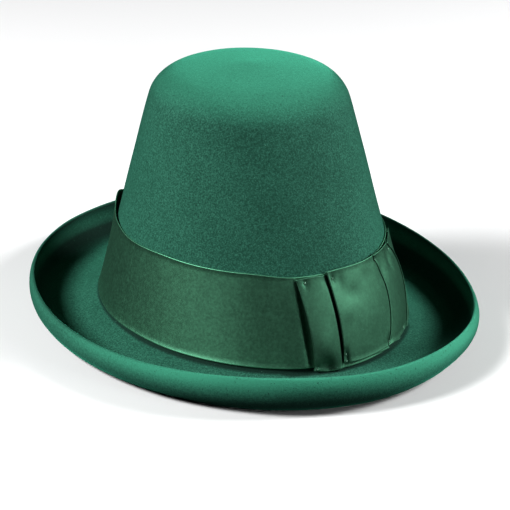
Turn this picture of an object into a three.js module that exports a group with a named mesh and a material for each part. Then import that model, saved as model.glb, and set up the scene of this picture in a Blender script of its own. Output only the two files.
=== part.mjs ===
import * as THREE from 'three';

// A leprechaun hat: a body blocked from one piece of felt, with a tall tapering
// crown and a rolled brim, a ribbon band round the crown's foot, and a flat bow
// of the same ribbon laid in knife pleats.
// Millimetres, +Z up. The wearer faces -Y, so the bow is at the front and left.
// The origin is on the table, under the middle of the brim.

// Felt body
const feltThickness = 2.5;
const headLength = 205.5;       // inside the crown's foot, front to back
const headWidth = 168.5;        // inside the crown's foot, side to side
const crownHeight = 156.3;      // from the table to the top of the crown
const tipDiameter = 111;        // where the crown's side would meet its top
const crownDome = 8;            // rise of the top above that corner
const shoulderRadius = 24;
const domeRadius = 150;
const domeCorner = 20;          // where the level middle would meet the sloping top
const crownLean = { left: -3, back: 1.6 };
const footHeight = 7.8;         // the crease between crown and brim, above the table
const footRadius = 4;
const brimReach = 42.5;         // from that crease to the outermost point of the brim
const curlRadius = 14.8;        // underside of the rolled edge
const curlPastUpright = 27;     // degrees that the roll turns in over the brim
const troughRadius = 25;
const troughWidth = 10.5;       // from the trough's corner to the middle of the roll

// How the rolled edge varies round the hat, with the angle in degrees
// anticlockwise from the wearer's left. reach and rise widen and raise the roll
// by a share of its own size. lift raises the whole roll off the table by a
// share of the curl's radius.
const brimWaves = [
  { angle: 0, reach: -0.03, rise: -0.03, lift: 0 },
  { angle: 30, reach: 0.03, rise: 0.13, lift: 0 },
  { angle: 60, reach: 0.03, rise: 0.12, lift: 0 },
  { angle: 90, reach: 0, rise: 0.07, lift: 0 },
  { angle: 120, reach: 0, rise: 0, lift: 0 },
  { angle: 150, reach: -0.04, rise: -0.05, lift: 0 },
  { angle: 180, reach: -0.07, rise: -0.12, lift: 0 },
  { angle: 210, reach: -0.04, rise: -0.07, lift: 0 },
  { angle: 240, reach: 0, rise: 0.08, lift: 0 },
  { angle: 270, reach: 0, rise: 0.02, lift: 0 },
  { angle: 300, reach: 0.03, rise: -0.12, lift: 0.13 },
  { angle: 330, reach: 0.05, rise: -0.19, lift: 0 },
];

// Ribbon
const ribbonThickness = 1;
const ribbonWidth = 50.8;
const bandHeight = 11.3;        // lower edge of the band above the table
const clearance = 0.3;          // between felt and ribbon, and between layers

// Bow, in knife pleats that all fold towards the wearer's right. Each row is a
// pleat: the width that shows and the depth tucked under it, as shares of the
// ribbon's width, and how high its fold stands off the band, in layers of
// ribbon.
const bowRibbonWidth = 54.5;
const bowDrop = 2.5;            // how far the bow hangs below the band
const bowAngle = -89;           // degrees, where the bow hangs straight down
const bowBeforeAngle = 22;      // from the first fold to that place
const bowSway = 2;              // degrees that the pleats bow out halfway up
const foldRadius = 0.6;
const tuckGap = 2;              // from a tuck's end to where the pleat above comes down
const hemGap = 4;               // from a tuck's end to the end of the ribbon
const bowPuff = 0.45;           // extra height of the first fold halfway up
const pleats = [
  { shows: 0.36, under: 0.16, stands: 3.4 },
  { shows: 0.73, under: 0.24, stands: 3.5 },
  { shows: 0.38, under: 0.24, stands: 3.3 },
  { shows: 0.6, under: 0.24, stands: 2.9 },
];

const toRadians = THREE.MathUtils.degToRad;

// How finely round forms are cut into flats
const roundSegments = 64;
const feltArcStep = toRadians(13);
const feltRunStep = 45;
const ribbonArcStep = toRadians(50);
const ribbonRunStep = 11;
const ribbonRows = 5;
const cutEdgeSteps = 4;

// Derived sizes. The body is drawn round, at the mean of length and width, and
// every ring is then pulled into an oval.
const ovalPull = (headLength - headWidth) / 4;
const footMeanRadius = (headLength + headWidth) / 4 + feltThickness;
const shoulderHeight = crownHeight - crownDome;
const curlCentreRadius = footMeanRadius + brimReach - curlRadius;
const troughStart = curlCentreRadius - troughWidth;
const tipRadius = tipDiameter / 2;
const sideLean = Math.atan2(footMeanRadius - tipRadius, shoulderHeight - footHeight);

// A path of straight runs whose corners are rounded to their radii. Returns
// points with the unit normal on the path's left, no further apart than
// arcStep round a corner and runStep along a straight run.
function roundedPath(corners, arcStep, runStep) {
  const samples = [];
  const add = (point, direction) => {
    const normal = new THREE.Vector2(-direction.y, direction.x);
    samples.push({ point, normal });
  };
  const addRun = (from, to, direction) => {
    const steps = Math.max(1, Math.ceil(from.distanceTo(to) / runStep));
    for (let i = 1; i < steps; i += 1) {
      add(from.clone().lerp(to, i / steps), direction);
    }
  };
  const points = corners.map((corner) => new THREE.Vector2(corner.x, corner.y));
  let runStart = points[0];
  let direction = points[1].clone().sub(points[0]).normalize();
  add(runStart.clone(), direction);
  for (let i = 1; i < points.length - 1; i += 1) {
    const next = points[i + 1].clone().sub(points[i]).normalize();
    const turn = Math.atan2(direction.cross(next), direction.dot(next));
    const trim = corners[i].radius * Math.tan(Math.abs(turn) / 2);
    const arcStart = points[i].clone().addScaledVector(direction, -trim);
    addRun(runStart, arcStart, direction);
    const side = Math.sign(turn);
    const toCentre = new THREE.Vector2(-direction.y, direction.x).multiplyScalar(side * corners[i].radius);
    const centre = arcStart.clone().add(toCentre);
    const steps = Math.max(1, Math.ceil(Math.abs(turn) / arcStep));
    for (let k = 0; k <= steps; k += 1) {
      const point = arcStart.clone().rotateAround(centre, (turn * k) / steps);
      add(point, direction.clone().rotateAround(new THREE.Vector2(), (turn * k) / steps));
    }
    runStart = arcStart.clone().rotateAround(centre, turn);
    direction = next;
  }
  const last = points[points.length - 1];
  addRun(runStart, last, direction);
  add(last.clone(), direction);
  return samples;
}

// The half circle that rounds a sheet's cut edge, from one face to the other.
function roundedEdge(from, to) {
  const centre = from.clone().lerp(to, 0.5);
  const points = [];
  for (let i = 1; i < cutEdgeSteps; i += 1) {
    points.push(from.clone().rotateAround(centre, (Math.PI * i) / cutEdgeSteps));
  }
  return points;
}

// How far a height is up the crown's side, from 0 at the crease to 1 at the
// shoulder. The brim counts as 0.
function upTheSide(radius, height) {
  if (radius > footMeanRadius) {
    return 0;
  }
  return THREE.MathUtils.clamp((height - footHeight) / (shoulderHeight - footHeight), 0, 1);
}

// A column of the table of waves at any angle, on a smooth curve through the
// rows' values.
function brimWave(column, angle) {
  const rows = brimWaves.length;
  const degrees = THREE.MathUtils.euclideanModulo(THREE.MathUtils.radToDeg(angle), 360);
  const before = brimWaves.findLastIndex((row) => row.angle <= degrees);
  const start = brimWaves[before].angle;
  const end = before === rows - 1 ? 360 : brimWaves[before + 1].angle;
  const share = (degrees - start) / (end - start);
  const value = (step) => brimWaves[(before + step + rows) % rows][column];
  const slopeBefore = (value(1) - value(-1)) / 2;
  const slopeAfter = (value(2) - value(0)) / 2;
  const gain = value(1) - value(0);
  const square = (3 * gain - 2 * slopeBefore - slopeAfter) * share ** 2;
  const cube = (slopeBefore + slopeAfter - 2 * gain) * share ** 3;
  return value(0) + slopeBefore * share + square + cube;
}

// Moves a point of the round form to its place on the real one: rings become
// ovals, the crown leans, and the brim's roll varies.
function placeOnHat(angle, radius, height) {
  const up = upTheSide(radius, height);
  const pull = ovalPull * (1 - up);
  const beyondTrough = Math.max(0, radius - curlCentreRadius);
  const reached = radius + beyondTrough * brimWave('reach', angle);
  const onBrim = THREE.MathUtils.smoothstep(radius, footMeanRadius, troughStart);
  const rise = beyondTrough > 0 ? height * brimWave('rise', angle) : 0;
  const lift = onBrim * Math.max(0, brimWave('lift', angle)) * curlRadius;
  return new THREE.Vector3(
    (reached - pull) * Math.cos(angle) + crownLean.left * up,
    (reached + pull) * Math.sin(angle) + crownLean.back * up,
    height + rise + lift,
  );
}

function turnedOnHat(profile) {
  const geometry = new THREE.LatheGeometry(profile, roundSegments);
  geometry.rotateX(Math.PI / 2);
  const position = geometry.attributes.position;
  for (let i = 0; i < position.count; i += 1) {
    const x = position.getX(i);
    const y = position.getY(i);
    const placed = placeOnHat(Math.atan2(y, x), Math.hypot(x, y), position.getZ(i));
    position.setXYZ(i, placed.x, placed.y, placed.z);
  }
  return geometry;
}

// The felt's upper and outer face runs from the middle of the crown out to the
// edge of the brim. Its other face is one felt thickness away all along.
function feltBodyGeometry() {
  const curlTurn = toRadians(90 + curlPastUpright);
  const curlInside = curlRadius - feltThickness;
  const curlTrim = curlInside * Math.tan(curlTurn / 2);
  const curlCorner = curlCentreRadius + curlTrim;
  const outside = roundedPath([
    { x: 0, y: crownHeight },
    { x: domeCorner, y: crownHeight, radius: domeRadius },
    { x: tipRadius, y: shoulderHeight, radius: shoulderRadius },
    { x: footMeanRadius, y: footHeight, radius: footRadius },
    { x: troughStart, y: feltThickness, radius: troughRadius },
    { x: curlCorner, y: feltThickness, radius: curlInside },
    { x: curlCorner + curlTrim * Math.cos(curlTurn), y: feltThickness + curlTrim * Math.sin(curlTurn) },
  ], feltArcStep, feltRunStep);
  const faceOut = outside.map((sample) => sample.point);
  const faceIn = outside.map(({ point, normal }) => point.clone().addScaledVector(normal, -feltThickness));
  faceIn[0].x = 0;
  const edge = roundedEdge(faceIn[faceIn.length - 1], faceOut[faceOut.length - 1]);
  return turnedOnHat([...faceIn, ...edge, ...faceOut.reverse()]);
}

// A point on the ribbon's side of the crown: how far up the slope from the
// band's lower edge, and how far out from the felt.
function crownSide(upSlope, outward) {
  const height = bandHeight + upSlope * Math.cos(sideLean) + outward * Math.sin(sideLean);
  const foot = footMeanRadius - (bandHeight - footHeight) * Math.tan(sideLean);
  const radius = foot - upSlope * Math.sin(sideLean) + outward * Math.cos(sideLean);
  return new THREE.Vector2(radius, height);
}

function hatbandGeometry() {
  const inner = clearance;
  const outer = clearance + ribbonThickness;
  const profile = [
    crownSide(0, outer),
    crownSide(ribbonWidth, outer),
    crownSide(ribbonWidth, inner),
    crownSide(0, inner),
    crownSide(0, outer),
  ];
  return turnedOnHat(profile);
}

// The bow's section, seen from above: distance round the crown and height off
// the band. The ribbon starts with a turned-in hem. Every later pleat is a Z: on
// under the next fold, back to it, and over itself. It ends in a second hem.
function bowCorners() {
  const layer = ribbonThickness + clearance;
  const onBand = clearance + ribbonThickness / 2;
  const corners = [];
  let fold = 0;
  pleats.forEach((pleat, i) => {
    const isFirst = i === 0;
    const isLast = i === pleats.length - 1;
    const tuck = fold + pleat.under * ribbonWidth;
    const nextFold = fold + pleat.shows * ribbonWidth;
    const underFold = isFirst ? onBand : onBand + layer;
    corners.push({ along: tuck, off: onBand, radius: foldRadius });
    if (!isFirst) {
      corners.push({ along: tuck, off: underFold, radius: foldRadius });
    }
    corners.push({ along: fold, off: underFold, radius: foldRadius });
    corners.push({ along: fold, off: pleat.stands * layer, radius: foldRadius });
    corners.push({ along: tuck + tuckGap, off: underFold + layer, radius: ribbonThickness });
    if (isLast) {
      corners.push({ along: nextFold, off: onBand + layer, radius: foldRadius });
      corners.push({ along: nextFold, off: onBand, radius: foldRadius });
      corners.push({ along: tuck + hemGap, off: onBand });
    } else {
      corners.push({ along: nextFold - ribbonThickness, off: onBand, radius: ribbonThickness });
    }
    fold = nextFold;
  });
  return corners.map((corner) => ({ x: corner.off, y: corner.along, radius: corner.radius }));
}

function bowGeometry() {
  const path = roundedPath(bowCorners(), ribbonArcStep, ribbonRunStep);
  const half = ribbonThickness / 2;
  const left = path.map((sample) => sample.point.clone().addScaledVector(sample.normal, half));
  const right = path.map((sample) => sample.point.clone().addScaledVector(sample.normal, -half));
  const section = new THREE.Shape([...left, ...right.reverse()]);
  const geometry = new THREE.ExtrudeGeometry(section, {
    depth: bowRibbonWidth,
    steps: ribbonRows,
    bevelEnabled: false,
  });
  const bowLength = pleats.reduce((sum, pleat) => sum + pleat.shows * ribbonWidth, 0);
  const position = geometry.attributes.position;
  for (let i = 0; i < position.count; i += 1) {
    const off = position.getX(i);
    const along = position.getY(i);
    const upWidth = position.getZ(i);
    const halfway = Math.sin((Math.PI * upWidth) / bowRibbonWidth);
    const puff = 1 + bowPuff * halfway * (1 - along / bowLength);
    const side = crownSide(upWidth - bowDrop, clearance + ribbonThickness + off * puff);
    const angle = toRadians(bowAngle + bowSway * halfway) + (along - bowBeforeAngle) / side.x;
    const placed = placeOnHat(angle, side.x, side.y);
    position.setXYZ(i, placed.x, placed.y, placed.z);
  }
  return geometry;
}

const felt = new THREE.MeshStandardMaterial({ color: 0x2c6450, roughness: 0.95, metalness: 0 });
const ribbon = new THREE.MeshStandardMaterial({ color: 0x356650, roughness: 0.6, metalness: 0 });
const bowRibbon = new THREE.MeshStandardMaterial({ color: 0x396a52, roughness: 0.6, metalness: 0 });

function piece(name, geometry, material) {
  const mesh = new THREE.Mesh(geometry, material);
  mesh.name = name;
  return mesh;
}

const hat = new THREE.Group();
hat.add(piece('felt_body', feltBodyGeometry(), felt));
hat.add(piece('hatband', hatbandGeometry(), ribbon));
hat.add(piece('bow', bowGeometry(), bowRibbon));

export default hat;
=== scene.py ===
# %% [markdown]
# # A leprechaun hat in felt and ribbon
#
# The hat is a tall crown and a rolled brim, blocked in one piece from green felt,
# with a wide ribbon round the foot of the crown. The same ribbon makes a flat bow
# at the front left, laid in knife pleats and tacked down with thread.
#
# The construction model comes first, as a frame that nothing here may move. Every
# piece below is made round it, in metres, with +Z up and the table at height 0.

# %% Load the frame
import math

import bmesh
import bpy
import numpy as np
from mathutils import Matrix, Vector, noise
from mathutils.bvhtree import BVHTree


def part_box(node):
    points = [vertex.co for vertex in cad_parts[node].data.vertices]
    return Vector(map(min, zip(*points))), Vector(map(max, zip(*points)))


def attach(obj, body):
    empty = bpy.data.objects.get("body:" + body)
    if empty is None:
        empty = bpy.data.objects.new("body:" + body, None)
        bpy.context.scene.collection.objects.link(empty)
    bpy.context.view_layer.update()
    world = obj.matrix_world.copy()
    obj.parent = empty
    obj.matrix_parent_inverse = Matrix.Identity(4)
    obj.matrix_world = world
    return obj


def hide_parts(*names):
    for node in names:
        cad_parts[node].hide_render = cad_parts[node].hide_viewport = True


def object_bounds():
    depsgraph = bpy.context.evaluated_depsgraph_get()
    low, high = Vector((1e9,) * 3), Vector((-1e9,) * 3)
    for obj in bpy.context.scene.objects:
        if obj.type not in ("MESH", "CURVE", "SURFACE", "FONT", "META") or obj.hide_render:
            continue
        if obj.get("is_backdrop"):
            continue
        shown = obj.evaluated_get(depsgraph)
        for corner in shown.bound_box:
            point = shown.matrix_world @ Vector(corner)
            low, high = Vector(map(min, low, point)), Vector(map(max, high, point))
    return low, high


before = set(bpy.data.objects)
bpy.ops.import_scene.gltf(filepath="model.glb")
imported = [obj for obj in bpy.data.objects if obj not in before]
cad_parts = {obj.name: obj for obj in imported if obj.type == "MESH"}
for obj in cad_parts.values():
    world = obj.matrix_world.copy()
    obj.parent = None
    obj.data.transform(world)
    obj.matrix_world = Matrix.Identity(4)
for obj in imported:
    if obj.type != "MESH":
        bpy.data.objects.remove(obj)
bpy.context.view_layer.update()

MM = 0.001
print("frame nodes:", sorted(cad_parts))

# %% [markdown]
# ## The camera
#
# The photograph looks down on the hat from a little above the brim, from the
# front and the wearer's right, through a long lens that hardly shows perspective.
# A camera could be placed by its coordinates. Here it is placed as a photographer
# would say it: how far round, how high, how far away and what it looks at. The
# picture's small tilt is a roll about the line of sight.

# %% Place the camera
camera_azimuth = math.radians(-30)
camera_elevation = math.radians(23.06)
camera_distance = 1.409
camera_roll = math.radians(-1.21)
aim_height = 36.2 * MM
aim_right = 1.9 * MM
focal_length = 167.9

toward_camera = Vector((
    math.sin(camera_azimuth) * math.cos(camera_elevation),
    -math.cos(camera_azimuth) * math.cos(camera_elevation),
    math.sin(camera_elevation),
))
level_right = Vector((math.cos(camera_azimuth), math.sin(camera_azimuth), 0))
level_up = toward_camera.cross(level_right)
aim = Vector((0, 0, aim_height)) + aim_right * level_right

camera = bpy.data.objects.new("camera", bpy.data.cameras.new("camera"))
bpy.context.scene.collection.objects.link(camera)
bpy.context.scene.camera = camera
camera.data.lens = focal_length
rolled_right = level_right * math.cos(camera_roll) - level_up * math.sin(camera_roll)
rolled_up = level_right * math.sin(camera_roll) + level_up * math.cos(camera_roll)
camera.matrix_world = Matrix.Translation(aim + camera_distance * toward_camera) @ Matrix(
    (rolled_right, rolled_up, toward_camera)
).transposed().to_4x4()
print(f"camera {camera_distance:.2f} m away, {math.degrees(camera_elevation):.0f} degrees up")

# %% [markdown]
# ## Small tools for making meshes
#
# Every piece here ends as a mesh of points and faces. One helper turns arrays into
# an object, so that the cells below can speak about cloth and not about data.

# %% Turn arrays into an object


def make_object(name, points, faces, smooth=True):
    """A mesh object whose points are given in the frame, in metres."""
    mesh = bpy.data.meshes.new(name)
    mesh.from_pydata([tuple(p) for p in points], [], [tuple(f) for f in faces])
    mesh.validate()
    mesh.update()
    mesh.polygons.foreach_set("use_smooth", [smooth] * len(mesh.polygons))
    made = bpy.data.objects.new(name, mesh)
    bpy.context.scene.collection.objects.link(made)
    return made


def add_place(made, along_and_up):
    """Stores where each point lies on its flat ribbon, for the weave."""
    layer = made.data.attributes.new("ribbon_place", "FLOAT_VECTOR", "POINT")
    flat = np.zeros((len(along_and_up), 3))
    flat[:, :2] = along_and_up
    layer.data.foreach_set("vector", flat.ravel())


# %% [markdown]
# ## The felt body
#
# A real hood of felt is steamed and pulled over a wooden block, so it has no seam
# and no corner: one skin runs from the top of the crown to the edge of the brim.
# The frame already holds that skin as a solid with a few thousand flats. It could
# be turned afresh on a lathe, but then every wave of the brim would have to be
# written down twice. Instead the flats are paired into quads and subdivided,
# which rounds them, and the points are then nudged by slow noise, because felt
# that dried on a block is never perfectly even.

# %% Grow a fine skin on the felt solid
subdivisions = 2
unevenness = 0.25 * MM
unevenness_size = 28 * MM
level_below = 4 * MM  # the nudge fades out over this height, so the hat rests flat

body_mesh = bmesh.new()
body_mesh.from_mesh(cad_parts["felt_body"].data)
bmesh.ops.remove_doubles(body_mesh, verts=body_mesh.verts, dist=0.01 * MM)
bmesh.ops.join_triangles(
    body_mesh,
    faces=body_mesh.faces,
    angle_face_threshold=math.pi,
    angle_shape_threshold=math.pi,
)
coarse = bpy.data.meshes.new("coarse_felt")
body_mesh.to_mesh(coarse)
body_mesh.free()
felt = bpy.data.objects.new("felt_skin", coarse)
bpy.context.scene.collection.objects.link(felt)
rounding = felt.modifiers.new("rounding", "SUBSURF")
rounding.levels = rounding.render_levels = subdivisions
fine = bpy.data.meshes.new_from_object(felt.evaluated_get(bpy.context.evaluated_depsgraph_get()))
felt.modifiers.clear()
felt.data = fine
bpy.data.meshes.remove(coarse)

skin_points = [vertex.co.copy() for vertex in fine.vertices]
skin_normals = [vertex.normal.copy() for vertex in fine.vertices]
nudged = []
for point, normal in zip(skin_points, skin_normals):
    wave = noise.noise(point / unevenness_size) * unevenness
    clear_of_table = min(1.0, max(0.0, point.z / level_below))
    nudged.append(point + normal * wave * clear_of_table)
fine.vertices.foreach_set("co", np.array(nudged).ravel())
fine.update()
fine.polygons.foreach_set("use_smooth", [True] * len(fine.polygons))

# %% [markdown]
# ## Finding the crown's surface
#
# The ribbon must lie on the crown from every side, so its place is never guessed.
# A ray is shot at the felt from just outside the band, at a given angle and height.
# Where it meets the felt, there is the surface. Two rings of such points are enough,
# because the crown's side is straight from foot to shoulder. Angles run
# anticlockwise from the wearer's left, so -90 degrees is the front.

# %% Shoot two rings of rays at the crown
band_low, band_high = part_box("hatband")
band_half = (band_high - band_low) / 2
ray_start = 9 * MM
ring_heights = (20 * MM, 56 * MM)
ring_angles = np.arange(-180, 181, 1.0)
left_column = 180  # the one of ring_angles that is 0, the wearer's left

felt_tree = BVHTree.FromPolygons(
    [v.co.copy() for v in fine.vertices], [tuple(p.vertices) for p in fine.polygons]
)


def crown_ring(height):
    """Points on the crown's outside at one height, one for each of ring_angles."""
    ring = []
    for angle in np.radians(ring_angles):
        east, north = math.cos(angle), math.sin(angle)
        outward = Vector((band_half.y * east, band_half.x * north, 0)).normalized()
        foot = Vector((band_half.x * east, band_half.y * north, height))
        point, _, _, _ = felt_tree.ray_cast(foot + ray_start * outward, -outward)
        ring.append(point)
    return np.array(ring)


rings = [crown_ring(height) for height in ring_heights]


def at_angle(ring, angles):
    """Points between those of a ring, at any angles in degrees."""
    turned = (np.asarray(angles) + 180) % 360 - 180
    return np.stack([np.interp(turned, ring_angles, ring[:, axis]) for axis in range(3)], axis=-1)


def on_crown(angles, heights, off):
    """Points at those angles and heights, off the felt by the distance off."""
    low, high = at_angle(rings[0], angles), at_angle(rings[1], angles)
    share = (np.asarray(heights) - ring_heights[0]) / (ring_heights[1] - ring_heights[0])
    up = high - low
    angles = np.asarray(angles)
    round_the_crown = at_angle(rings[0], angles + 1) - at_angle(rings[0], angles - 1)
    out = np.cross(round_the_crown, up)
    out /= np.linalg.norm(out, axis=-1, keepdims=True)
    return low + up * share[..., None] + out * np.asarray(off)[..., None]


print("crown at the front:", on_crown(np.array([-90.0]), np.array([30 * MM]), np.array([0.0])))

# %% [markdown]
# ## A ribbon in general
#
# Both the band and the bow are cut from one woven ribbon, half a millimetre thick,
# whose two long edges end in a slightly thicker woven cord, the selvage. It catches
# the light as a fine bright line. A ribbon here is a grid of points in the middle
# of its thickness. Both faces are that grid, moved out and in along its normal, and
# narrow strips close the edges, so the mesh is a closed sheet.

# %% Make a closed sheet from a grid of middle points
ribbon_thickness = 0.5 * MM
selvage_width = 0.9 * MM
selvage_swell = 0.13 * MM
rows_between_selvages = 22


def rows_across(width):
    """Places across a ribbon, close together in its two selvages."""
    edge = np.linspace(0, selvage_width, 5)
    middle = np.linspace(selvage_width, width - selvage_width, rows_between_selvages)
    return np.concatenate([edge, middle[1:-1], width - edge[::-1]])


def half_thickness(rows):
    """Half the ribbon's thickness at each place across it, swollen in the selvages."""
    from_edge = np.minimum(rows, rows[-1] - rows)
    in_selvage = np.clip(from_edge / selvage_width, 0, 1)
    return ribbon_thickness / 2 + selvage_swell * np.sin(math.pi * in_selvage)


def grid_normals(grid, closed):
    """Unit normals of a grid of points, rows across and columns along."""
    if closed:
        along = np.roll(grid, -1, axis=1) - np.roll(grid, 1, axis=1)
    else:
        along = np.gradient(grid, axis=1)
    out = np.cross(along, np.gradient(grid, axis=0))
    return out / np.maximum(np.linalg.norm(out, axis=-1, keepdims=True), 1e-12)


def strip_faces(first, second):
    """Quads between two lists of point numbers of the same length."""
    return [(first[i], first[i + 1], second[i + 1], second[i]) for i in range(len(first) - 1)]


def make_ribbon(name, grid, rows, along, closed):
    """A closed sheet round a grid of middle points, with its flat places stored."""
    normal = grid_normals(grid, closed)
    half = half_thickness(rows)[:, None, None]
    outside, inside = grid + normal * half, grid - normal * half
    row_count, column_count = grid.shape[:2]
    number = np.arange(row_count * column_count).reshape(row_count, column_count)
    if closed:
        number = np.concatenate([number, number[:, :1]], axis=1)
    hidden = number + row_count * column_count
    faces = []
    for row in range(row_count - 1):
        faces += strip_faces(number[row], number[row + 1])
        faces += strip_faces(hidden[row + 1], hidden[row])
    faces += strip_faces(hidden[0], number[0]) + strip_faces(number[-1], hidden[-1])
    if not closed:
        faces += strip_faces(number[:, 0], hidden[:, 0]) + strip_faces(hidden[:, -1], number[:, -1])
    points = np.concatenate([outside.reshape(-1, 3), inside.reshape(-1, 3)])
    made = make_object(name, points, faces)
    places = np.stack(np.broadcast_arrays(along, rows[:, None]), axis=-1).reshape(-1, 2)
    add_place(made, np.concatenate([places, places]))
    return made


# %% [markdown]
# ## The band
#
# The band is one length of ribbon pulled round the foot of the crown. Its lower
# edge sits just above the crease of the brim. Its upper edge isn't quite level, and
# at the back and right it stands away from the felt, where a dark gap shows. A
# cloth simulation would find such a gap only by luck, so both come from short
# tables read along smooth curves.

# %% Read a short table along a smooth curve


def smooth_table(table, angles):
    """Values between the rows (angle, value) of a table, which closes on itself."""
    rows = np.array(sorted(table))
    angle, value = rows[:, 0], rows[:, 1]
    turned = (np.asarray(angles) - angle[0]) % 360 + angle[0]
    angle = np.append(angle, angle[0] + 360)
    value = np.append(value, value[0])
    before = np.clip(np.searchsorted(angle, turned, side="right") - 1, 0, len(rows) - 1)
    share = (turned - angle[before]) / (angle[before + 1] - angle[before])
    eased = share * share * (3 - 2 * share)
    return value[before] + (value[before + 1] - value[before]) * eased


def through_three(values, share):
    """A smooth curve through the values at shares 0, one half and 1."""
    foot, middle, head = values
    return foot + (head - foot) * share + (middle - (foot + head) / 2) * 4 * share * (1 - share)


def way_along(points):
    """The distance from the first point to each of a row of points."""
    steps = np.linalg.norm(np.diff(points, axis=0), axis=1)
    return np.concatenate([[0], np.cumsum(steps)])


# %% [markdown]
# ### The band's own ups and downs
#
# Besides its two edges, the band has one swell that matters. Where the bow is
# tacked through it, the band is drawn in to the felt, and just to the wearer's
# right of that it stands off a little. The swell keeps the light from the side out,
# so that the mouth of the bow's first fold is dark. It follows the line of that
# fold. The tables hold degrees and millimetres, and the mouth's own widths degrees.

# %% Lay the band round the crown
band_columns = 720
bow_mouth = (-102.0, -103.55, -107.75)
mouth_width = (2.4, 3.0, 0.8)
mouth_stand = (1.0, 1.5, 0.2)
mouth_slope = 16
mouth_lead = 0.2
ribbon_gap = 0.3 * MM
lower_edge_rise = (
    (-190, -1.6), (-160, -1.3), (-133, -1.0), (-108, -1.4), (-60, -1.4), (0, -0.8),
)
upper_edge_rise = (
    (-232, 0), (-219, 4.5), (-206, -0.8), (-188, -2.2), (-160, 0), (-130, -0.1),
    (-108, -2.0), (-60, -2.0), (0, 0), (90, -0.5),
)
upper_edge_stand = (
    (-262, 0), (-235, 1.6), (-219, 2.8), (-205, 1.1), (-190, 0), (-100, 0), (0, 0),
)
lower_edge_stand = 0.1 * MM
upper_edge_power, lower_edge_power = 3, 14  # how close to its edge each stand stays

band_foot, band_head = band_low.z, band_high.z
slope = (rings[1] - rings[0])[left_column]
slope_width = np.linalg.norm(slope) / slope[2] * (band_head - band_foot)
band_rows = rows_across(slope_width)
share_up = (band_rows / band_rows[-1])[:, None]
band_angles = np.linspace(-180, 180, band_columns, endpoint=False)[None, :]
upper_rise = smooth_table(upper_edge_rise, band_angles) * MM
lower_rise = smooth_table(lower_edge_rise, band_angles) * MM
stand = smooth_table(upper_edge_stand, band_angles) * MM
heights = band_foot + lower_rise + (band_head - band_foot + upper_rise - lower_rise) * share_up
off = ribbon_gap + ribbon_thickness / 2 + stand * share_up**upper_edge_power
off = off + lower_edge_stand * (1 - share_up) ** lower_edge_power
before_mouth = through_three(bow_mouth, share_up) - mouth_lead - band_angles
crest = through_three(mouth_width, share_up)
rising = np.clip((mouth_slope - before_mouth) / (mouth_slope - crest), 0, 1)
falling = np.clip(before_mouth / crest, 0, 1)
swell = np.where(before_mouth > crest, rising, falling)
off = off + through_three(mouth_stand, share_up) * MM * swell * swell * (3 - 2 * swell)
band_grid = on_crown(np.broadcast_to(band_angles, heights.shape), heights, off)
first_row = np.vstack([band_grid[0], band_grid[0, :1]])
band_along = way_along(first_row)
band_length = band_along[-1]
band = make_ribbon("hatband_ribbon", band_grid, band_rows, band_along[None, :-1], closed=True)
print(f"band: {band_length * 1000:.0f} mm round its foot, {slope_width * 1000:.1f} mm wide")

# %% [markdown]
# ## The bow
#
# The bow isn't tied. A length of the ribbon is folded to and fro into four knife
# pleats that all point to the wearer's right, laid over the band, and tacked at
# both ends of each fold. Between its tacks a fold springs open, and the first
# one gapes. Seen from above, the ribbon's section is a snake: on under the
# next fold, back to it, and over itself.
#
# Each row of the table is a fold. Four of its columns have three values: at the
# ribbon's lower edge, half way up and at the upper edge. They are the fold's angle,
# how far it stands off the crown, and how far the layer past it and the layer just
# before it stand off. A groove is how far that last layer plunges beside the fold.
# Its low and high say by how much the ribbon's two edges lie above those of the
# band, in four places: at the fold itself, past it, where the next fold comes over
# it, and at the end of the tuck under that fold. All but the angles are millimetres.

# %% List the folds
folds = (
    dict(
        angle=bow_mouth, stand=(4.0, 6.8, 2.6), past=(3.4, 6.1, 2.5), before=(0, 0, 0),
        groove=0, tuck=12, low=(-3.1, -4.6, -4.0, -3.2), high=(-3.3, -2.5, -2.7, -3.3),
    ),
    dict(
        angle=(-90.1, -90.3, -92.6), stand=(3.6, 5.6, 3.3), past=(3.0, 4.4, 2.9),
        before=(2.8, 5.0, 2.4), groove=3.4, tuck=36,
        low=(-1.1, -2.0, -1.7, -3.2), high=(-1.0, -0.8, -1.3, -3.3),
    ),
    dict(
        angle=(-66.9, -59.2, -61.2), stand=(3.2, 4.1, 3.1), past=(2.9, 4.3, 2.8),
        before=(2.6, 3.5, 2.5), groove=0, tuck=14,
        low=(-1.6, -1.5, -1.4, -2.3), high=(-1.4, -1.6, -2.0, -2.5),
    ),
    dict(
        angle=(-49.5, -39.5, -45.0), stand=(2.9, 5.1, 3.1), past=(2.1, 2.8, 1.9),
        before=(2.2, 4.4, 2.4), groove=0, tuck=8,
        low=(-1.4, -1.4, -1.4, -1.4), high=(-2.1, -2.1, -1.8, -1.8),
    ),
)
bow_end_angle = -30
layer = ribbon_thickness + 0.15 * MM
on_band = 2 * ribbon_gap + ribbon_thickness + ribbon_thickness / 2
crease_depth = 0.5 * MM
past_reach = 9 * MM
brow_reach = 2.3 * MM
groove_reach = 0.5 * MM
touch_down_share = 0.8
touch_down_reach = 1.5 * MM
end_turned_back = 6 * MM
METRES_A_DEGREE = math.radians(1) * band_half.x
print(f"one degree round the crown is {METRES_A_DEGREE / MM:.2f} mm")


# %% [markdown]
# ### The section of the bow at one height
#
# The section is a path of corners with a rounding radius each. A corner carries
# its place along and off the band, and where the ribbon's lower and upper edge
# lie there, so that a pleat can hang askew over the one beneath it. Its last
# number says whether it belongs to a layer that shows.

# %% Work out the corners of a row


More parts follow.
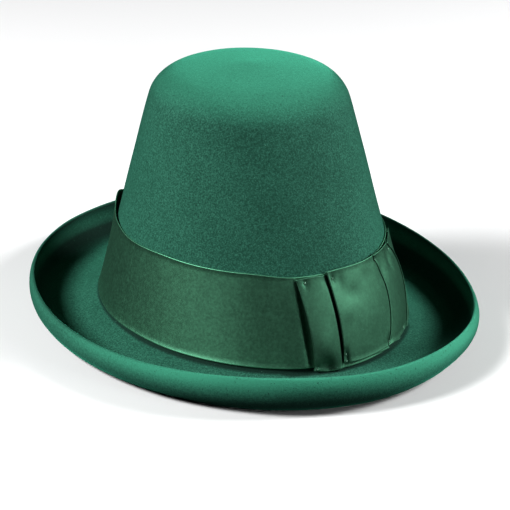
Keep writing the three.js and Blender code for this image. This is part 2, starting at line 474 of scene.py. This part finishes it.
def row_corners(share):
    """Corners (along, off, low, high, shows, radius) of the bow at a share up."""
    corners = []
    at_fold, past_fold, at_next, tucked = range(4)

    def corner(along, off, fold, place, shows, radius):
        low, high = fold["low"][place] * MM, fold["high"][place] * MM
        corners.append((along, off, low, high, shows, radius * MM))

    angles = [through_three(fold["angle"], share) for fold in folds] + [bow_end_angle]
    starts = [(angle - angles[0]) * METRES_A_DEGREE for angle in angles]
    before = folds[0]
    for i, fold in enumerate(folds):
        along = starts[i]
        stand = through_three(fold["stand"], share) * MM
        past = through_three(fold["past"], share) * MM
        brow = through_three(fold["before"], share) * MM
        groove = fold["groove"] * MM
        tuck = fold["tuck"] * MM
        under = on_band if i == 0 else on_band + layer
        touch_down = along + touch_down_share * stand + touch_down_reach
        if i == 0:
            corner(along + tuck, under, fold, at_fold, 0, 1)
        else:
            bottom_of_groove = max(brow - groove, on_band)
            corner(along - brow_reach, brow, before, at_next, 1, 0.8)
            corner(along - groove_reach, bottom_of_groove, before, at_next, 1, 0.5)
            corner(touch_down, on_band, before, at_next, 0, 1)
            corner(along + tuck, on_band, before, tucked, 0, 0.4)
            corner(along + tuck, under, before, tucked, 0, 0.4)
        corner(touch_down, under, fold, at_fold, 0, 1)
        corner(along, stand - crease_depth, fold, at_fold, 0.5, 0.3)
        corner(along, stand, fold, at_fold, 1, 0.6)
        half_way = 0.5 * (starts[i + 1] - along)
        corner(along + min(past_reach, half_way), past, fold, past_fold, 1, 6)
        before = fold
    end = starts[-1]
    corner(end, on_band + layer, before, at_next, 1, 0.4)
    corner(end, on_band, before, at_next, 0, 0.4)
    corner(end - end_turned_back, on_band, before, at_next, 0, 1)
    return np.array(corners)


# %% [markdown]
# ### Soft corners
#
# A ribbon never bends at a point. A bevel would round the finished mesh, but its
# size would be the same at every fold, and a pressed crease is sharper than the bulge
# beside it. So each corner is cut off by its own radius, before there is a mesh, and
# a short curve is drawn through the cut. The straight runs between corners are
# divided the same way in every row, so that the rows join up into a grid.

# %% Round the corners
steps_round_corner = 5
most_of_a_run = 0.45


def run_to(start, end, steps):
    """Even steps from a start, left out, to an end."""
    return [start + (end - start) * k / steps for k in range(1, steps + 1)]


def rounded_row(corners, run_steps):
    """Samples along the corners, with each corner drawn as a short curve."""
    values, radii = corners[:, :5], corners[:, 5]
    samples = [values[0]]
    for i in range(1, len(values) - 1):
        before, here, after = values[i - 1], values[i], values[i + 1]
        length_in = np.linalg.norm((here - before)[:2])
        length_out = np.linalg.norm((after - here)[:2])
        trim = min(radii[i], most_of_a_run * length_in, most_of_a_run * length_out)
        enter = here + (before - here) * trim / length_in
        leave = here + (after - here) * trim / length_out
        samples += run_to(samples[-1], enter, run_steps[i - 1])
        for k in range(1, steps_round_corner + 1):
            t = k / steps_round_corner
            samples.append((1 - t) ** 2 * enter + 2 * t * (1 - t) * here + t * t * leave)
    samples += run_to(samples[-1], values[-1], run_steps[-1])
    return np.array(samples)


# %% [markdown]
# ### Dents and tacks
#
# A tack pulls the cloth down to the band, and soft dents run out from it. Each is
# a smooth dip in how far the ribbon stands off, applied to the layers that show.
# The wide pleat has one crease that runs down from its upper tack, toward the
# wearer's left, and the narrow first strip is pinched in above its lower end.

# %% List the tacks and dents
tacks = (
    (-103.7, 43.7), (-89.8, 43.8), (-60.4, 44.7), (-45.0, 43.1),
    (-52.5, 0.3), (-66.1, 0.3), (-89.2, 2.9), (-89.2, -0.7), (-101.0, -2.4),
)
tack_spread = 1.7 * MM
tack_pull = 0.95
pulled_to = on_band + 0.2 * MM
dents = (
    dict(angle=-86.8, height=43.0, along=4, up=3.5, depth=0.8),
    dict(angle=-87.0, height=38.0, along=5, up=4.5, depth=0.8),
    dict(angle=-80.5, height=33.5, along=6, up=4.5, depth=0.8),
    dict(angle=-86.5, height=26.0, along=7, up=5.0, depth=-0.5),
    dict(angle=-97.6, height=-1.5, along=4.4, up=4.6, depth=3.6),
    dict(angle=-98.5, height=12.0, along=5, up=6, depth=-0.5),
    dict(angle=-94.0, height=43.0, along=2.5, up=3, depth=0.4),
    dict(angle=-76.0, height=20.0, along=16, up=12, depth=-0.5),
    dict(angle=-70.5, height=46.0, along=6, up=3, depth=-0.5),
    dict(angle=-58.0, height=38.4, along=3.5, up=6, depth=0.9),
    dict(angle=-49.5, height=39.5, along=3.0, up=5, depth=1.1),
)


def pulled_off(angles, heights, off, shows):
    """How far each sample stands off once the tacks and dents have pulled it."""
    height_in_mm = (heights - band_foot) / MM
    pull = np.zeros_like(off)
    for angle, height in tacks:
        across = (angles - angle) * METRES_A_DEGREE
        distance = np.hypot(across, (height_in_mm - height) * MM)
        pull = np.maximum(pull, np.exp(-((distance / tack_spread) ** 2)))
    left_over = pulled_to + (off - pulled_to) * (1 - tack_pull * pull * shows)
    off = np.where(off > pulled_to, left_over, off)
    for dent in dents:
        across = (angles - dent["angle"]) * METRES_A_DEGREE / MM / dent["along"]
        upward = (height_in_mm - dent["height"]) / dent["up"]
        dip = np.exp(-(across**2) - upward**2) * dent["depth"] * MM * shows
        off = np.where(dip > 0, np.maximum(off - dip, np.minimum(off, pulled_to)), off - dip)
    return off


# %% [markdown]
# ### All rows together
#
# The ribbon is sampled row by row, from its lower edge to its upper one. Each row
# works out its own corners, rounds them, is pulled in by the tacks and is laid on the
# crown. Nothing here keeps one layer from cutting through the next, and some do,
# mostly near the ribbon's two edges. A cloth simulation with self-collision might
# prevent that, but it would also move the lines of the folds. It wasn't tried.

# %% Fold the bow
sample_spacing = 1.6 * MM
nominal = row_corners(0.5)
run_lengths = np.linalg.norm(np.diff(nominal[:, :2], axis=0), axis=1)
run_steps = [max(1, round(length / sample_spacing)) for length in run_lengths]
bow_rows = rows_across(slope_width)
bow_grid = []
for across in bow_rows:
    share = across / bow_rows[-1]
    samples = rounded_row(row_corners(share), run_steps)
    along, off, low, high, shows = samples.T
    angles = through_three(folds[0]["angle"], share) + along / METRES_A_DEGREE
    heights = band_foot + low + (band_head - band_foot + high - low) * share
    off = pulled_off(angles, heights, off, shows)
    bow_grid.append(on_crown(angles, heights, off))
bow_grid = np.array(bow_grid)
middle_row = bow_grid[len(bow_rows) // 2]
bow_along = way_along(middle_row)
bow = make_ribbon("bow_ribbon", bow_grid, bow_rows, bow_along[None, :], closed=False)

# %% [markdown]
# ## The tacking thread
#
# Each fold of the bow is caught at both ends with tiny stitches, two to a tack here.
# A painted dot would do from far off. They are short loops of thread instead, so
# that they cast their own shadow into the dimple that they pull.

# %% Sew the tacks
thread_radius = 0.2 * MM
stitch_span = 1.5 * MM
stitch_rise = 0.35 * MM
stitches_a_tack = 2
stitch_turns = (35, -50)
second_stitch_higher = 0.4
stitch_clearance = 0.02 * MM
search_from = 12 * MM
steps_along_stitch = 10
sides_of_thread = 6

bow_tree = BVHTree.FromPolygons(
    [v.co.copy() for v in bow.data.vertices], [tuple(p.vertices) for p in bow.data.polygons]
)


def bow_surface_at(angle, height_in_mm):
    """The bow's outermost point at an angle and a height above the band's foot."""
    height = band_foot + height_in_mm * MM
    one = [np.array([value]) for value in (angle, height)]
    inner, outer = (on_crown(*one, np.array([off]))[0] for off in (0.0, search_from))
    toward = Vector(inner - outer).normalized()
    point, _, _, _ = bow_tree.ray_cast(Vector(outer), toward)
    return (point or Vector(inner) - 1.5 * MM * toward), -toward


def add_tube(points, radius, all_points, all_faces):
    """A round thread along a short list of points."""
    first = len(all_points)
    for i, point in enumerate(points):
        ahead = points[min(i + 1, len(points) - 1)] - points[max(i - 1, 0)]
        side = ahead.cross(Vector((0.3, 0.2, 1))).normalized()
        other = ahead.cross(side).normalized()
        for k in range(sides_of_thread):
            turn = 2 * math.pi * k / sides_of_thread
            all_points.append(point + radius * (side * math.cos(turn) + other * math.sin(turn)))
    for i in range(len(points) - 1):
        for k in range(sides_of_thread):
            a = first + i * sides_of_thread + k
            b = first + i * sides_of_thread + (k + 1) % sides_of_thread
            all_faces.append((a, b, b + sides_of_thread, a + sides_of_thread))
    last = first + (len(points) - 1) * sides_of_thread
    all_faces.append(tuple(first + k for k in reversed(range(sides_of_thread))))
    all_faces.append(tuple(last + k for k in range(sides_of_thread)))


thread_points, thread_faces = [], []
for angle, height_in_mm in tacks:
    centre, outward = bow_surface_at(angle, height_in_mm)
    across = outward.cross(Vector((0, 0, 1))).normalized()
    upward = across.cross(outward).normalized()
    for number in range(stitches_a_tack):
        turn = math.radians(stitch_turns[number])
        along = across * math.cos(turn) + upward * math.sin(turn)
        loop = []
        for k in range(steps_along_stitch + 1):
            share = k / steps_along_stitch
            arch = math.sin(math.pi * share) * stitch_rise * (1 + second_stitch_higher * number)
            sideways = along * stitch_span * (share - 0.5)
            loop.append(centre + sideways + outward * (arch + stitch_clearance))
        add_tube(loop, thread_radius, thread_points, thread_faces)
thread = make_object("bow_tack_stitches", thread_points, thread_faces)
print(f"thread: {len(tacks)} tacks of {stitches_a_tack} stitches")

# %% [markdown]
# ## Writing a finish as an expression
#
# A finish is a tree of shader nodes. Written out node by node it hides its idea, so
# one small class wraps an output socket and gives it the usual operators: each
# adds a Math node. Everything else comes from a single method that takes a kind of
# node, its settings and what goes into its sockets.

# %% Wrap sockets and materials


class Wire:
    """An output socket that can be added, subtracted, multiplied and so on."""

    def __init__(self, finish, socket):
        self.finish = finish
        self.socket = socket

    def math(self, operation, *values):
        return self.finish.node("ShaderNodeMath", {"operation": operation}, dict(enumerate(values)))

    def __add__(self, other):
        return self.math("ADD", self, other)

    def __radd__(self, other):
        return self.math("ADD", other, self)

    def __sub__(self, other):
        return self.math("SUBTRACT", self, other)

    def __rsub__(self, other):
        return self.math("SUBTRACT", other, self)

    def __mul__(self, other):
        return self.math("MULTIPLY", self, other)

    def __rmul__(self, other):
        return self.math("MULTIPLY", other, self)

    def clamped(self):
        return self.finish.node("ShaderNodeClamp", {}, {0: self, 1: 0.0, 2: 1.0})

    def sine(self):
        return self.math("SINE", self)


class Finish:
    """A material whose nodes are added by one method."""

    def __init__(self, name):
        self.material = bpy.data.materials.new(name)
        self.material.use_nodes = True
        self.tree = self.material.node_tree
        self.shader = self.tree.nodes["Principled BSDF"]

    def node(self, kind, settings, sockets, output=0):
        made = self.tree.nodes.new(kind)
        for name, value in settings.items():
            setattr(made, name, value)
        for name, value in sockets.items():
            self.feed(made.inputs[name], value)
        return Wire(self, made.outputs[output])

    def feed(self, socket, value):
        if isinstance(value, Wire):
            self.tree.links.new(value.socket, socket)
        else:
            socket.default_value = value

    def set(self, **sockets):
        """Sets or links sockets of the surface shader, named with _ for spaces."""
        for name, value in sockets.items():
            self.feed(self.shader.inputs[name.replace("_", " ")], value)

    def mix(self, share, first, second):
        """A colour between two colours."""
        return self.node("ShaderNodeMix", {"data_type": "RGBA"}, {0: share, 6: first, 7: second}, 2)

    def cloud(self, where, size, detail=3.0, roughness=0.55):
        """Smooth noise whose patches measure about size, in metres, from 0 to 1."""
        return self.node("ShaderNodeTexNoise", {}, {
            "Vector": where, "Scale": 1 / size, "Detail": detail, "Roughness": roughness,
        })

    def place(self):
        """Where a point lies on its object, in metres."""
        return self.node("ShaderNodeTexCoord", {}, {}, 3)

    def bump(self, height, distance, strength):
        """A relief that only the light sees."""
        sockets = {"Height": height, "Distance": distance, "Strength": strength}
        return self.node("ShaderNodeBump", {}, sockets)

    def part(self, vector, axis):
        """One coordinate of a vector: 0 for x, 1 for y, 2 for z."""
        return self.node("ShaderNodeSeparateXYZ", {}, {0: vector}, axis)

    def stretch(self, value, low, high):
        """A value's span from low to high, stretched to 0 to 1 and clamped."""
        return ((value - low) * (1 / (high - low))).clamped()


# %% [markdown]
# ## The felt's finish
#
# Felt is a mat of wool fibres dyed in the piece. From near it is mottled: fibres of
# slightly different green lie every way, a few dark ones sink and a few pale ones
# rise. Its nap scatters light that grazes it, so its edges glow a little, which is
# the sheen. No single noise does all that, so a slow cloud, a fine mottle, a grain
# and two kinds of speck are laid over each other, and the bump follows the same
# mottle and grain.

# %% Name the felt's colours
felt_deep = (0.018, 0.092, 0.062, 1)
felt_mid = (0.034, 0.150, 0.104, 1)
felt_pale = (0.062, 0.228, 0.162, 1)
# painted highlight: paler felt for the crown's top and the ridge of the roll
painted_crown_highlight = (0.055, 0.285, 0.188, 1)
painted_ridge_highlight = (0.075, 0.375, 0.250, 1)
# painted shade: near-black felt for the curl, the roll's underside and under the band
painted_felt_shade = (0.006, 0.028, 0.020, 1)
speck_dark = (0.012, 0.050, 0.038, 1)
speck_light = (0.16, 0.40, 0.30, 1)
felt_sheen = (0.18, 1, 0.68, 1)

# %% [markdown]
# ### Painted highlight and painted shade
#
# The crown's top and the front of the roll are painted paler, as painted highlight, and the inside
# of the roll, its underside and the felt just under the band are painted nearly black, as painted
# shade. Both stand for hard light and deep shade, which the plain soft lights here don't give. That
# is a shortcut with a price: under other lights these places stay paler or darker than real felt.
# Each is a mask that depends only on a point's place and slope on the hat, never on the camera.
#
# The spread of a point is 1 on the brim's outline and less inside it. A level
# direction is given by its x and y, with +x the wearer's left and -y the front.

# %% Find the places of painted highlight and painted shade
low_corner, high_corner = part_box("felt_body")
skin_half = (np.array(high_corner) - np.array(low_corner)) / 2
front = (-0.15, -0.99)
left_and_front = (0.87, -0.5)
middle_of_bow = (0.26, -0.97)


def spread_over(finish, where, half_sizes):
    """1 on the oval with those half sizes, less inside it and more outside."""
    shares = (1 / float(half_sizes[axis]) for axis in (0, 1))
    x_share, y_share = (finish.part(where, axis) * share for axis, share in enumerate(shares))
    return x_share * x_share + y_share * y_share


def distance_toward(finish, where, direction):
    """How far a point lies from the hat's middle in a level direction."""
    return finish.part(where, 0) * direction[0] + finish.part(where, 1) * direction[1]


def painted_highlight_places(finish, where, upward, spread, uneven):
    """Painted highlight on the crown's top and the front of the roll, as (share, colour)."""
    height = finish.part(where, 2)
    # painted highlight on the crown's top and on the roll, fading away from the front
    on_crown_top = finish.stretch(height, 80 * MM, 140 * MM) * finish.stretch(upward, 0.35, 0.85)
    at_front = finish.stretch(distance_toward(finish, where, front), 20 * MM, 115 * MM)
    on_roll = finish.stretch(spread, 0.94, 0.975) * finish.stretch(upward, -0.4, 0.3)
    on_roll = on_roll * (1 - finish.stretch(upward, 0.7, 1.0) * 0.25) * (0.2 + at_front * 0.8)
    return (
        (on_crown_top * uneven * 0.5, painted_crown_highlight),
        ((on_roll * uneven).clamped(), painted_ridge_highlight),
    )


def painted_shade_places(finish, where, upward, spread):
    """Painted shade in the curl, under the roll and on the felt under the band, as (share, colour).
    """
    below_crown = 1 - finish.stretch(finish.part(where, 2), 30 * MM, 40 * MM)
    # the curl's painted shade reaches further in on the side toward left_and_front
    curl_begins = spread + distance_toward(finish, where, left_and_front) * 0.4
    in_curl = finish.stretch(curl_begins, 0.7, 0.86) * (1 - finish.stretch(spread, 0.945, 0.975))
    under_roll = finish.stretch(spread, 0.75, 0.85) * (1 - finish.stretch(upward, -0.75, -0.2))
    # the painted shade under the band reaches a little further out where the bow stands
    bow_stands = finish.stretch(distance_toward(finish, where, middle_of_bow), 84 * MM, 90 * MM)
    band_spread = spread_over(finish, where, band_half) - bow_stands * 0.035
    under_band = 1 - finish.stretch(band_spread, 1.0, 1.03)
    return (
        (in_curl * below_crown * 0.95, painted_felt_shade),
        (under_roll * 0.8, painted_felt_shade),
        (under_band * below_crown * 0.9, painted_felt_shade),
    )


# %% [markdown]
# ### The felt's layers
#
# A colour ramp could hold all the greens at once, but then no layer could be changed alone. Here
# the mottled ground comes first, and each place of painted shade, each painted highlight and each
# speck is mixed over it in turn. The specks come last, because they are loose fibres that lie on
# top.

# %% Dye and nap the felt, and mix in its painted highlight and shade


def felt_specks(finish, where):
    """Sunk dark fibres and raised pale ones, as (share, colour)."""
    dark = finish.stretch(finish.cloud(where, 1.1 * MM, 1.0), 0.66, 0.76)
    light = finish.stretch(finish.cloud(where, 1.0 * MM, 1.0), 0.75, 0.8)
    return (dark * 0.6, speck_dark), (light * 0.6, speck_light)


def felt_finish():
    finish = Finish("felt")
    where = finish.place()
    upward = finish.part(finish.node("ShaderNodeTexCoord", {}, {}, 1), 2)
    spread = spread_over(finish, where, skin_half)
    slow = finish.cloud(where, 30 * MM, 2.0)
    mottle = finish.cloud(where, 1.8 * MM, 4.0, 0.7)
    grain = finish.cloud(where, 0.9 * MM, 3.0, 0.75)
    fibres = finish.cloud(where, 0.35 * MM, 2.0)
    tone = slow * 0.1 + mottle * 0.3 + grain * 0.6
    colour = finish.mix(finish.stretch(tone, 0.38, 0.52), felt_deep, felt_mid)
    colour = finish.mix(finish.stretch(tone, 0.5, 0.64), colour, felt_pale)
    # painted shade and painted highlight, mixed over the mottled ground
    layers = painted_shade_places(finish, where, upward, spread)
    layers += painted_highlight_places(finish, where, upward, spread, 0.6 + tone * 0.8)
    layers += felt_specks(finish, where)
    for share, shade in layers:
        colour = finish.mix(share, colour, shade)
    relief = mottle * 0.5 + grain * 0.35 + fibres * 0.3
    finish.set(
        Base_Color=colour, Roughness=0.92 - grain * 0.1,
        Normal=finish.bump(relief, 0.35 * MM, 0.75), Specular_IOR_Level=0.25,
        Sheen_Weight=0.45, Sheen_Roughness=0.4, Sheen_Tint=felt_sheen,
    )
    return finish.material


felt.data.materials.clear()
felt.data.materials.append(felt_finish())
print("felt finish:", len(felt.data.materials[0].node_tree.nodes), "nodes")

# %% [markdown]
# ## The ribbon's finish
#
# The ribbon is a fine ribbed weave, more olive than the felt, with a dull shine. Its ribs run
# across it, less than half a millimetre apart. They are a sine of the distance along the ribbon,
# which each point stores as its place, so the ribs follow every fold. A second, finer sine is the
# weft. The selvages are raised cords, and their colour is painted paler, a painted highlight along
# each edge.
#
# A plain shader shines white. This ribbon shines in its own green, so its surface is set to be
# mostly metallic, though there is no metal in it. The band and the bow are taken to be one cloth,
# yet the band is painted paler here and is a little smoother, and the bow darker. That is painted
# light and painted shade for the different light each catches, and it shows as a step of tone where
# the bow ends.

# %% Weave the ribbon
ribbon_deep = (0.066, 0.178, 0.116, 1)
ribbon_mid = (0.078, 0.210, 0.136, 1)
ribbon_pale = (0.094, 0.252, 0.164, 1)
# painted highlight along the raised selvage cords
selvage_highlight = (0.16, 0.42, 0.28, 1)
rib_pitch = 0.45 * MM
weft_pitch = 0.32 * MM
ribbon_sheen = (0.5, 1, 0.75, 1)
# painted light on the band and painted shade on the bow: one cloth shaded two ways
band_shade, band_roughness = 1.24, 0.46
bow_shade, bow_roughness = 0.76, 0.52


def ribbon_finish(name, shade, roughness, width):
    finish = Finish(name)
    # shade scales every colour: painted light above 1, painted shade below 1
    deep, middle, pale, cord = (
        tuple(shade * value for value in colour[:3]) + (1,)
        for colour in (ribbon_deep, ribbon_mid, ribbon_pale, selvage_highlight)
    )
    place = finish.node("ShaderNodeAttribute", {"attribute_name": "ribbon_place"}, {}, 1)
    along, up = finish.part(place, 0), finish.part(place, 1)
    where = finish.place()
    wander = finish.cloud(where, 6 * MM, 2.0)
    ribs = ((along + wander * 0.4 * MM) * (2 * math.pi / rib_pitch)).sine()
    weft = (up * (2 * math.pi / weft_pitch)).sine()
    slub = finish.cloud(where, 1.6 * MM, 3.0, 0.6)
    tone = wander * 0.3 + slub * 0.7
    colour = finish.mix(finish.stretch(tone, 0.36, 0.52), deep, middle)
    colour = finish.mix(finish.stretch(tone, 0.5, 0.68), colour, pale)
    colour = finish.mix((ribs * 0.5 + 0.5) * 0.12, colour, deep)
    from_edge = finish.node("ShaderNodeMath", {"operation": "MINIMUM"}, {0: up, 1: width - up})
    # painted highlight: the selvages are mixed toward a paler colour
    selvage = 1 - finish.stretch(from_edge, 0.3 * MM, 0.5 * MM)
    colour = finish.mix(selvage * 0.7, colour, cord)
    lint = finish.stretch(finish.cloud(where, 1.0 * MM, 1.0), 0.76, 0.8)
    colour = finish.mix(lint * 0.5, colour, speck_light)
    relief = ribs * 0.35 + weft * 0.2 + slub * 0.9
    finish.set(
        Base_Color=colour, Roughness=slub * 0.14 + roughness, Metallic=0.92,
        Normal=finish.bump(relief, 0.05 * MM, 0.6), Specular_IOR_Level=0.35,
        Sheen_Weight=0.05, Sheen_Roughness=0.4, Sheen_Tint=ribbon_sheen,
    )
    return finish.material


for ribbon, name, shade, roughness, rows in (
    (band, "band ribbon", band_shade, band_roughness, band_rows),
    (bow, "bow ribbon", bow_shade, bow_roughness, bow_rows),
):
    ribbon.data.materials.append(ribbon_finish(name, shade, roughness, float(rows[-1])))
    print(f"{name}: shade {shade}, roughness {roughness} and up")

# %% [markdown]
# ### The thread
#
# Sewing thread is twisted from strands. At a width of 0.4 mm the twist isn't
# modelled. A very fine noise that goes from a dark to a pale green breaks up the
# shine instead, and serves for the relief too.

# %% Dye the thread
thread_dark = (0.08, 0.22, 0.15, 1)
thread_pale = (0.36, 0.62, 0.48, 1)


def thread_finish():
    finish = Finish("tacking thread")
    twist = finish.cloud(finish.place(), 0.25 * MM, 2.0)
    colour = finish.mix(finish.stretch(twist, 0.35, 0.65), thread_dark, thread_pale)
    relief = finish.bump(twist, 0.05 * MM, 0.6)
    finish.set(Base_Color=colour, Roughness=0.55 - twist * 0.15, Normal=relief)
    return finish.material


thread.data.materials.append(thread_finish())

# %% [markdown]
# ## The floor
#
# The hat stands on a plain pale floor that runs back without a horizon. A pale
# floor throws light up into the brim, and in the photograph, where the hat is cut
# out on white, no such light shows. So the floor is seen by the camera but left out
# of the light that bounces and is mirrored. From behind, the outside of the roll is
# very dark near the floor for that reason.

# %% Lay the floor
floor_reach = 6.0
floor_cloud_size = 0.4
floor_grey = (0.88, 0.885, 0.89, 1)
floor_white = (0.91, 0.91, 0.91, 1)


def floor_finish():
    finish = Finish("pale floor")
    cloud = finish.cloud(finish.place(), floor_cloud_size, 3.0)
    colour = finish.mix(cloud, floor_grey, floor_white)
    finish.set(Base_Color=colour, Roughness=0.9, Specular_IOR_Level=0.1)
    return finish.material


corner_signs = ((-1, -1), (1, -1), (1, 1), (-1, 1))
floor_corners = [(sx * floor_reach, sy * floor_reach, 0) for sx, sy in corner_signs]
floor = make_object("floor", floor_corners, [(0, 1, 2, 3)], smooth=False)
floor.data.materials.append(floor_finish())
floor.visible_diffuse = False
floor.visible_glossy = False
floor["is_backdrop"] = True

# %% [markdown]
# ## The lights
#
# The crown is bright down both of its sides and darker in the middle, so two soft
# lights stand left and right of the camera, at half height. A third, weak and low,
# fills the front of the roll. One light overhead would brighten the top but leave
# the sides dull. The sky is almost black, and a display gamma below 1 deepens the
# darks, as the photograph has very few half tones there.

# %% Hang the lights
light_distance = 1.8
light_size = 0.6
lit_height = 60 * MM
lights = (("left", -98, 36, 46), ("right", 65, 28, 38), ("front", 24, 14, 8.5))
sky_colour = (0.92, 0.95, 1.0, 1)
sky_strength = 0.012
display_gamma = 0.8


def hang_light(name, azimuth, elevation, power):
    """A square soft light aimed at the hat, placed like the camera by two angles."""
    a, e = math.radians(azimuth), math.radians(elevation)
    toward = Vector((math.sin(a) * math.cos(e), -math.cos(a) * math.cos(e), math.sin(e)))
    light = bpy.data.objects.new(name, bpy.data.lights.new(name, "AREA"))
    light.data.size = light_size
    light.data.energy = power
    light.rotation_mode = "QUATERNION"
    light.rotation_quaternion = toward.to_track_quat("Z", "Y")
    light.location = Vector((0, 0, lit_height)) + light_distance * toward
    bpy.context.scene.collection.objects.link(light)


for name, azimuth, elevation, power in lights:
    hang_light(name, azimuth, elevation, power)
    print(f"{name} light: {power} W from {azimuth} degrees round, {elevation} up")

sky = bpy.data.worlds.new("studio")
sky.use_nodes = True
background = sky.node_tree.nodes["Background"]
background.inputs["Color"].default_value = sky_colour
background.inputs["Strength"].default_value = sky_strength
bpy.context.scene.world = sky
bpy.context.scene.view_settings.view_transform = "Standard"
bpy.context.scene.view_settings.gamma = display_gamma

# %% [markdown]
# ## Tying the pieces to the frame
#
# The hat has no joint, so every piece rides on its one body. Each skin stands for the plain solid
# beneath it, which is hidden. The two ribbons are sheets of cloth.

# %% Ride and replace
for piece, node, slot in (
    (felt, "felt_body", "felt"),
    (band, "hatband", "ribbon"),
    (bow, "bow", "ribbon"),
):
    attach(piece, "root")
    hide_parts(node)
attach(thread, "root")

# %% [markdown]
# ## The hat's box
#
# The box round every piece that is shown, the floor left out, is measured at the end. Every skin
# should end up close to the frame's box. A hat that came out larger than its frame would mean that
# the frame is wrong, and it would be mended there.

# %% Measure the box round the hat
low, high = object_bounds()
